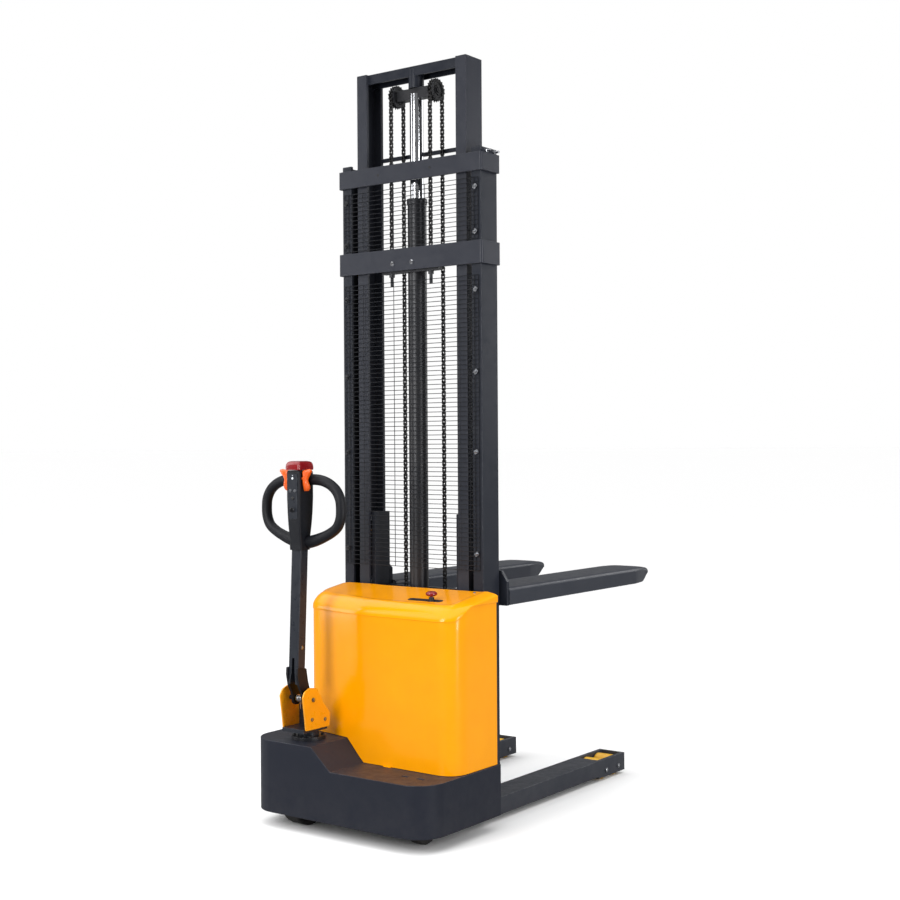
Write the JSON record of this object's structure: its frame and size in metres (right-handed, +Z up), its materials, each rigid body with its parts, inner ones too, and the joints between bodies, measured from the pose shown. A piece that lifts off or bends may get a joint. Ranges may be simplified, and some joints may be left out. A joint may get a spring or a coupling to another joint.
{
  "type": "walkie stacker",
  "caption": "Pedestrian electric straddle stacker: two-stage chain-lift mast with forks, straddle legs, drive unit under a moulded hood and a steering tiller with a loop handle.",
  "frame": {"origin": "on the floor under the middle of the whole machine", "axes": "+Z up, +Y along the forks away from the operator, +X to the operator's right"},
  "size_m": [0.8089, 1.69, 2.754],
  "materials": {
    "body_paint": "satin powder coat, dark slate",
    "mast_paint": "satin powder coat, dark slate",
    "hood_yellow": "gloss amber yellow moulded cover",
    "bracket_yellow": "gloss yellow paint",
    "bright_steel": "zinc-plated steel",
    "chrome": "hard chrome",
    "chain_steel": "oiled black steel",
    "wire_black": "black dipped wire",
    "tiller_paint": "satin dark paint",
    "tiller_plastic": "textured black moulding",
    "grip_rubber": "soft black overmould",
    "orange_plastic": "orange moulding",
    "red_plastic": "red moulding",
    "load_tyre": "yellow polyurethane",
    "dark_tyre": "black polyurethane",
    "battery_case": "black battery case"
  },
  "bodies": {
    "root": {"chassis_shell": "body_paint", "base_plate": "body_paint", "hood_shell": "hood_yellow", "hood_cap": "hood_yellow", "battery": "battery_case", "pump_unit": "chain_steel", "motor_controller": "battery_case", "outer_rail_left": "mast_paint", "outer_rail_right": "mast_paint", "mast_band_upper": "mast_paint", "mast_band_lower": "mast_paint", "mast_foot": "body_paint", "lift_cylinder": "mast_paint", "chain_anchors": "mast_paint", "guard_lower": "wire_black", "guard_upper": "wire_black", "leg_left": "body_paint", "leg_right": "body_paint", "load_axles": "bright_steel", "steering_ring": "tiller_paint", "fasteners": "bright_steel", "estop_base": "tiller_plastic", "chain_rear": "chain_steel"},
    "inner_mast": {"inner_rail_left": "mast_paint", "inner_rail_right": "mast_paint", "inner_top_beam": "mast_paint", "inner_mast_ties": "mast_paint", "chain_crosshead": "mast_paint", "piston_rod": "chrome", "chain_wraps": "chain_steel"},
    "carriage": {"carriage_frame": "mast_paint", "fork_left": "body_paint", "fork_right": "body_paint", "chain_front": "chain_steel"},
    "mast_rollers": {"mast_rollers": "bright_steel"},
    "carriage_rollers_lower": {"carriage_rollers_lower": "bright_steel"},
    "carriage_rollers_upper": {"carriage_rollers_upper": "bright_steel"},
    "chain_wheel_left": {"chain_wheel_left": "chain_steel"},
    "chain_wheel_right": {"chain_wheel_right": "chain_steel"},
    "steer": {"drive_unit": "chain_steel", "tiller_column": "tiller_paint", "tiller_brackets": "bracket_yellow", "tilt_spring": "bright_steel"},
    "drive_wheel": {"drive_wheel": "dark_tyre"},
    "tiller": {"tiller_arm": "tiller_paint", "tiller_head": "tiller_plastic", "handle_loop": "grip_rubber"},
    "throttle": {"throttle": "orange_plastic"},
    "belly_button": {"belly_button": "red_plastic"},
    "lift_button": {"lift_button": "tiller_plastic"},
    "lower_button": {"lower_button": "tiller_plastic"},
    "horn_button": {"horn_button": "orange_plastic"},
    "key_switch": {"key_switch": "bright_steel"},
    "estop_button": {"estop_button": "red_plastic"},
    "castor_fork": {"castor_fork": "bright_steel"},
    "castor_wheel": {"castor_wheel": "dark_tyre"},
    "load_wheel_left_rear": {"load_wheel_left_rear": "load_tyre"},
    "load_wheel_left_front": {"load_wheel_left_front": "load_tyre"},
    "load_wheel_right_rear": {"load_wheel_right_rear": "load_tyre"},
    "load_wheel_right_front": {"load_wheel_right_front": "load_tyre"}
  },
  "joints": [
    {"name": "mast_lift", "type": "slide", "parent": "root", "child": "inner_mast", "axis": [0, 0, 1], "range_m": [-0.338, 1.3], "deforming": ["chain_rear"]},
    {"name": "carriage_lift", "type": "slide", "parent": "inner_mast", "child": "carriage", "axis": [0, 0, 1], "range_m": [-0.338, 1.3], "deforming": ["chain_front"]},
    {"name": "mast_roller_spin", "type": "hinge", "parent": "inner_mast", "child": "mast_rollers", "pos_m": [0, -0.346, 0.478], "axis": [1, 0, 0], "range_deg": [-2200, 2200]},
    {"name": "carriage_roller_lower_spin", "type": "hinge", "parent": "carriage", "child": "carriage_rollers_lower", "pos_m": [0, -0.3395, 0.822], "axis": [1, 0, 0], "range_deg": [-2200, 2200]},
    {"name": "carriage_roller_upper_spin", "type": "hinge", "parent": "carriage", "child": "carriage_rollers_upper", "pos_m": [0, -0.3395, 1.056], "axis": [1, 0, 0], "range_deg": [-2200, 2200]},
    {"name": "chain_wheel_left_spin", "type": "hinge", "parent": "inner_mast", "child": "chain_wheel_left", "pos_m": [-0.091, -0.35, 2.657], "axis": [1, 0, 0], "range_deg": [-2200, 2200]},
    {"name": "chain_wheel_right_spin", "type": "hinge", "parent": "inner_mast", "child": "chain_wheel_right", "pos_m": [0.091, -0.35, 2.657], "axis": [1, 0, 0], "range_deg": [-2200, 2200]},
    {"name": "steer_turn", "type": "hinge", "parent": "root", "child": "steer", "pos_m": [-0.212, -0.731, 0.308], "axis": [0, 0, 1], "range_deg": [-75, 75]},
    {"name": "drive_wheel_spin", "type": "hinge", "parent": "steer", "child": "drive_wheel", "pos_m": [-0.227, -0.731, 0.1], "axis": [1, 0, 0], "continuous": true},
    {"name": "tiller_tilt", "type": "hinge", "parent": "steer", "child": "tiller", "pos_m": [-0.212, -0.768, 0.455], "axis": [1, 0, 0], "range_deg": [0, 80], "stiffness_Nm_per_rad": 30, "springref_deg": -22.92},
    {"name": "throttle_turn", "type": "hinge", "parent": "tiller", "child": "throttle", "pos_m": [-0.212, -0.787, 1.24], "axis": [1, 0, 0], "range_deg": [-20, 20], "stiffness_Nm_per_rad": 0.6},
    {"name": "belly_button_press", "type": "slide", "parent": "tiller", "child": "belly_button", "axis": [0, 0, -1], "range_m": [0, 0.008], "stiffness_N_per_m": 600, "springref_m": -0.003},
    {"name": "lift_button_press", "type": "slide", "parent": "tiller", "child": "lift_button", "axis": [0, 1, 0], "range_m": [0, 0.003], "stiffness_N_per_m": 500, "springref_m": -0.002},
    {"name": "lower_button_press", "type": "slide", "parent": "tiller", "child": "lower_button", "axis": [0, 1, 0], "range_m": [0, 0.003], "stiffness_N_per_m": 500, "springref_m": -0.002},
    {"name": "horn_button_press", "type": "slide", "parent": "tiller", "child": "horn_button", "axis": [0, 1, 0], "range_m": [0, 0.003], "stiffness_N_per_m": 500, "springref_m": -0.002},
    {"name": "key_turn", "type": "hinge", "parent": "tiller", "child": "key_switch", "pos_m": [-0.212, -0.805, 1.128], "axis": [0, 1, 0], "range_deg": [0, 90]},
    {"name": "estop_press", "type": "slide", "parent": "root", "child": "estop_button", "axis": [0, 0, -1], "range_m": [0, 0.006]},
    {"name": "castor_swivel", "type": "hinge", "parent": "root", "child": "castor_fork", "pos_m": [0.275, -0.73, 0.18], "axis": [0, 0, 1], "continuous": true},
    {"name": "castor_wheel_spin", "type": "hinge", "parent": "castor_fork", "child": "castor_wheel", "pos_m": [0.275, -0.696, 0.065], "axis": [1, 0, 0], "continuous": true},
    {"name": "load_wheel_left_rear_spin", "type": "hinge", "parent": "root", "child": "load_wheel_left_rear", "pos_m": [-0.268, 0.453, 0.04], "axis": [1, 0, 0], "continuous": true},
    {"name": "load_wheel_left_front_spin", "type": "hinge", "parent": "root", "child": "load_wheel_left_front", "pos_m": [-0.268, 0.549, 0.04], "axis": [1, 0, 0], "continuous": true},
    {"name": "load_wheel_right_rear_spin", "type": "hinge", "parent": "root", "child": "load_wheel_right_rear", "pos_m": [0.268, 0.453, 0.04], "axis": [1, 0, 0], "continuous": true},
    {"name": "load_wheel_right_front_spin", "type": "hinge", "parent": "root", "child": "load_wheel_right_front", "pos_m": [0.268, 0.549, 0.04], "axis": [1, 0, 0], "continuous": true}
  ],
  "couplings": [
    {"joint": "carriage_lift", "follows": "mast_lift", "ratio": 1},
    {"joint": "mast_roller_spin", "follows": "mast_lift", "rad_per_m": 27.027},
    {"joint": "carriage_roller_lower_spin", "follows": "mast_lift", "rad_per_m": 27.027},
    {"joint": "carriage_roller_upper_spin", "follows": "mast_lift", "rad_per_m": -27.027},
    {"joint": "chain_wheel_left_spin", "follows": "mast_lift", "rad_per_m": 27.397},
    {"joint": "chain_wheel_right_spin", "follows": "mast_lift", "rad_per_m": 27.397}
  ]
}
